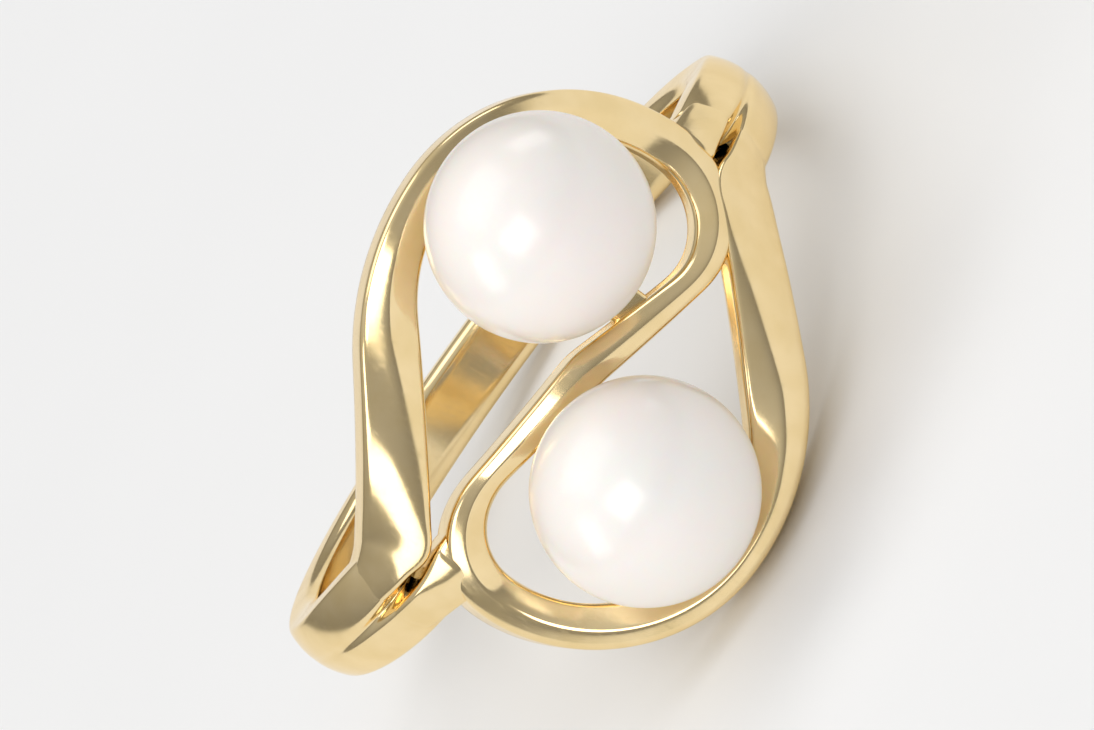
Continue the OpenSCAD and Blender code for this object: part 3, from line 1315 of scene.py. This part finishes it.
@dataclass(frozen=True)
class NacreFinish:
    """White nacre with a faint rose tone, and a warm edge colour towards its outline that is a
    painted reflection of the gold round it.

    Attributes:
        body: The body colour.
        tone: The tone of its clouds.
        edge: The colour towards its outline, a painted reflection of the gold round the pearl.
        bump: Depth of its grain, in metres.
    """

    body: Colour = (0.92, 0.915, 0.885, 1.0)
    tone: Colour = (0.97, 0.895, 0.87, 1.0)
    edge: Colour = (0.92, 0.82, 0.71, 1.0)
    bump: float = 0.000002

    def build(self) -> bpy.types.Material:
        """Makes the material.

        Returns:
            A translucent white under a clear coat, with cloudy colour and roughness.
        """
        material, g = new_material("white_nacre")
        clouds = g.add("Group", node_tree=nacre_group())
        clouds.inputs["Body"].default_value = self.body
        clouds.inputs["Tone"].default_value = self.tone
        painted_reflection_share = g.add("LayerWeight", {"Blend": 0.35})
        # Painted reflection: the colour turns warm towards the outline, standing in for the gold
        # reflected in the pearl's rim.
        colour = g.mix(painted_reflection_share.outputs["Facing"], clouds.outputs["Color"], self.edge)
        bump = g.add("Bump", {"Height": clouds.outputs["Height"], "Strength": 0.12,
                              "Distance": self.bump})
        shader = g.add("BsdfPrincipled", {
            "Base Color": colour, "Roughness": clouds.outputs["Roughness"],
            "Normal": bump.outputs["Normal"], "Subsurface Weight": 0.25,
            "Subsurface Scale": 0.0008, "Specular IOR Level": 0.6, "Coat Weight": 0.6,
            "Coat Roughness": 0.15, "Coat IOR": 1.5})
        g.add("OutputMaterial", {"Surface": shader.outputs["BSDF"]})
        return material


@dataclass(frozen=True)
class PaperFinish:
    """Matt pale paper with a faint mottle, for the floor.

    Attributes:
        brightness: Brightness of its darkest and its lightest patches.
    """

    brightness: tuple[float, float] = (0.84, 0.87)

    def build(self) -> bpy.types.Material:
        """Makes the material.

        Returns:
            A matt material with its mottle from a noise.
        """
        material, g = new_material("pale_paper")
        mottle = g.noise(g.add("TexCoord").outputs["Object"], 60.0, detail=3.0)
        shader = g.add("BsdfPrincipled", {"Base Color": g.remap(mottle, end=self.brightness),
                                          "Roughness": 0.85, "Specular IOR Level": 0.2})
        g.add("OutputMaterial", {"Surface": shader.outputs["BSDF"]})
        return material


# Studio


@dataclass(frozen=True)
class Softbox:
    """A rectangular soft light.

    Attributes:
        name: Its name.
        place: Its place in the part's frame, in metres.
        size: Its width and height, in metres.
        power: Its power, in watts.
        colour: Its colour.
    """

    name: str
    place: tuple[float, float, float]
    size: tuple[float, float]
    power: float
    colour: tuple[float, float, float] = (1.0, 1.0, 1.0)

    def build(self, target: Array) -> None:
        """Makes the light.

        Args:
            target: The point that it is aimed at, in metres.
        """
        lamp = bpy.data.lights.new(self.name, "AREA")
        lamp.shape = "RECTANGLE"
        lamp.size, lamp.size_y = self.size
        lamp.energy = self.power
        lamp.color = self.colour
        holder = in_scene(self.name, lamp)
        holder.location = self.place
        away = Vector(self.place) - Vector(target)
        holder.rotation_mode = "QUATERNION"
        holder.rotation_quaternion = away.to_track_quat("Z", "Y")


def vertices(piece: bpy.types.Object) -> Array:
    """Reads a piece's vertices.

    Args:
        piece: The piece, with its place in its mesh.

    Returns:
        The vertices in the part's frame, in metres, n by 3.
    """
    flat = np.empty(3 * len(piece.data.vertices), dtype=np.float32)
    piece.data.vertices.foreach_get("co", flat)
    return flat.astype(float).reshape(-1, 3)


@dataclass(frozen=True)
class Camera:
    """A long lens at the photograph's angle to the ring.

    Attributes:
        back: Direction from the ring to the camera, in the ring's frame.
        up: The picture's upward direction, in the ring's frame.
        distance: Distance from the ring, in metres.
        fill: Share of the frame's height that the ring takes.
    """

    back: tuple[float, float, float] = (-0.09, 0.124, 0.988)
    up: tuple[float, float, float] = (0.810, 0.587, 0.0)
    distance: float = 0.5
    fill: float = 0.86

    def build(self, place: RingFrame) -> None:
        """Makes the camera and frames the shown pieces with it.

        Args:
            place: The ring's frame.
        """
        back = unit(place.turn(np.array(self.back)))
        right = unit(np.cross(place.turn(np.array(self.up)), back))
        axes = np.array([right, np.cross(back, right), back])
        seen = np.vstack([vertices(piece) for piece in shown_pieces()]) @ axes.T
        low, high, middle = seen.min(axis=0), seen.max(axis=0), seen.mean(axis=0)
        middle[:2] = (low[:2] + high[:2]) / 2
        width, height, _ = high - low
        view_height = max(height, width * IMAGE_HEIGHT / IMAGE_WIDTH) / self.fill
        data = bpy.data.cameras.new("camera")
        data.sensor_fit = "HORIZONTAL"
        data.sensor_width = 36.0
        data.lens = data.sensor_width * self.distance / (view_height * IMAGE_WIDTH / IMAGE_HEIGHT)
        data.clip_start, data.clip_end = 0.01, 20.0
        holder = in_scene("camera", data)
        holder.rotation_mode = "QUATERNION"
        holder.rotation_quaternion = Matrix(axes.T.tolist()).to_quaternion()
        holder.location = middle @ axes + back * self.distance
        bpy.context.scene.camera = holder


@dataclass(frozen=True)
class Studio:
    """Pale floor, soft lights and the surroundings that the gold reflects.

    Attributes:
        floor_r: Radius of the floor, in metres.
        floor_sides: Number of its sides.
        horizon: Brightness of the surroundings at the horizon.
        zenith: Brightness of the surroundings overhead.
        lights: The soft lights.
    """

    floor_r: float = 4.0
    floor_sides: int = 96
    horizon: float = 0.24
    zenith: float = 0.68
    lights: tuple[Softbox, ...] = (
        Softbox("overhead", (0.0, 0.05, 0.6), (0.6, 0.45), 1.0),
        Softbox("front", (-0.28, -0.6, 0.5), (0.5, 0.4), 2.2, (1.0, 0.985, 0.96)),
        Softbox("left", (-0.6, -0.05, 0.3), (0.25, 0.4), 0.7),
        Softbox("right", (0.5, 0.15, 0.3), (0.2, 0.3), 0.35),
    )

    def floor(self) -> None:
        """Makes the floor, a flat disc at height 0."""
        angles = np.arange(self.floor_sides) * 2 * math.pi / self.floor_sides
        rim = np.stack([np.cos(angles), np.sin(angles), 0 * angles], axis=-1) * self.floor_r
        mesh = bpy.data.meshes.new("floor")
        mesh.from_pydata(rim.tolist(), [], [list(range(self.floor_sides))])
        mesh.materials.append(PaperFinish().build())
        in_scene("floor", mesh)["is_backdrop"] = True

    def surroundings(self) -> None:
        """Makes the world, which brightens evenly with the height of the direction."""
        world = bpy.data.worlds.new("studio")
        world.use_nodes = True
        bpy.context.scene.world = world
        g = Graph(world.node_tree)
        way = g.add("SeparateXYZ", {"Vector": g.add("TexCoord").outputs["Generated"]})
        level = g.remap(way.outputs["Z"], end=(self.horizon, self.zenith))
        sky = g.add("Background", {"Color": (1.0, 1.0, 1.0, 1.0), "Strength": level})
        g.add("OutputWorld", {"Surface": sky.outputs["Background"]})

    def build(self, target: Array) -> None:
        """Makes the floor, lights and surroundings.

        Args:
            target: The point that the lights are aimed at, in metres.
        """
        self.floor()
        for light in self.lights:
            light.build(target)
        self.surroundings()
        bpy.context.scene.view_settings.view_transform = "Standard"


def main() -> None:
    """Builds the ring, reports its pieces, and builds the studio and the camera round it."""
    logging.basicConfig(level=logging.INFO, format="%(name)s: %(message)s")
    place = RingFrame.from_part()
    envelope = Envelope(bore_r=finger_bore()["dims"]["r_mm"])
    upper = Pearl.from_part(Half.UPPER, seed=3, place=place)
    lower = Pearl.from_part(Half.LOWER, seed=8, place=place)
    gold, nacre = GoldFinish().build(), NacreFinish().build()
    mount = GoldMount(envelope, upper, lower)
    for piece in (mount.build(place, gold), upper.build(place, nacre), lower.build(place, nacre)):
        log.info("%s: %d faces", piece.name, len(piece.data.polygons))
    Studio().build(place.centre)
    Camera().build(place)


if __name__ == "__main__":
    main()
